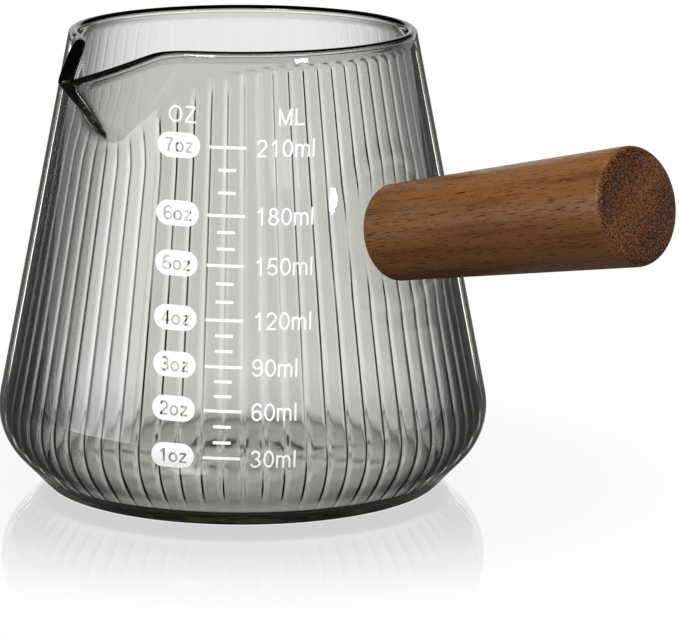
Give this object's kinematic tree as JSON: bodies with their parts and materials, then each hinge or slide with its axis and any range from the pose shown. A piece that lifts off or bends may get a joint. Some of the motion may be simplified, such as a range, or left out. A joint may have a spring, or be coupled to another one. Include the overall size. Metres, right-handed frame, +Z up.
{
  "type": "espresso measuring cup",
  "caption": "Smoked glass measuring cup with a fluted wall, a pulled V spout, a printed volume scale and a turned wooden side handle glued over a glass peg.",
  "frame": {"origin": "centre of the flat base, on the table", "axes": "+Z up along the cup's axis, +X towards the handle, -Y towards the spout; the printed scale faces between +X and -Y"},
  "size_m": [0.1267, 0.0818, 0.0757],
  "materials": {
    "smoked_glass": "clear grey, fire polished",
    "adhesive": "cured clear resin",
    "dark_wood": "oiled, satin",
    "white_enamel": "fired white enamel, gloss"
  },
  "bodies": {
    "root": {"glass_cup": "smoked_glass", "handle_peg": "smoked_glass", "glue_sleeve": "adhesive", "wood_handle": "dark_wood", "ounce_badges": "white_enamel", "long_ticks": "white_enamel", "short_ticks": "white_enamel"}
  },
  "joints": []
}
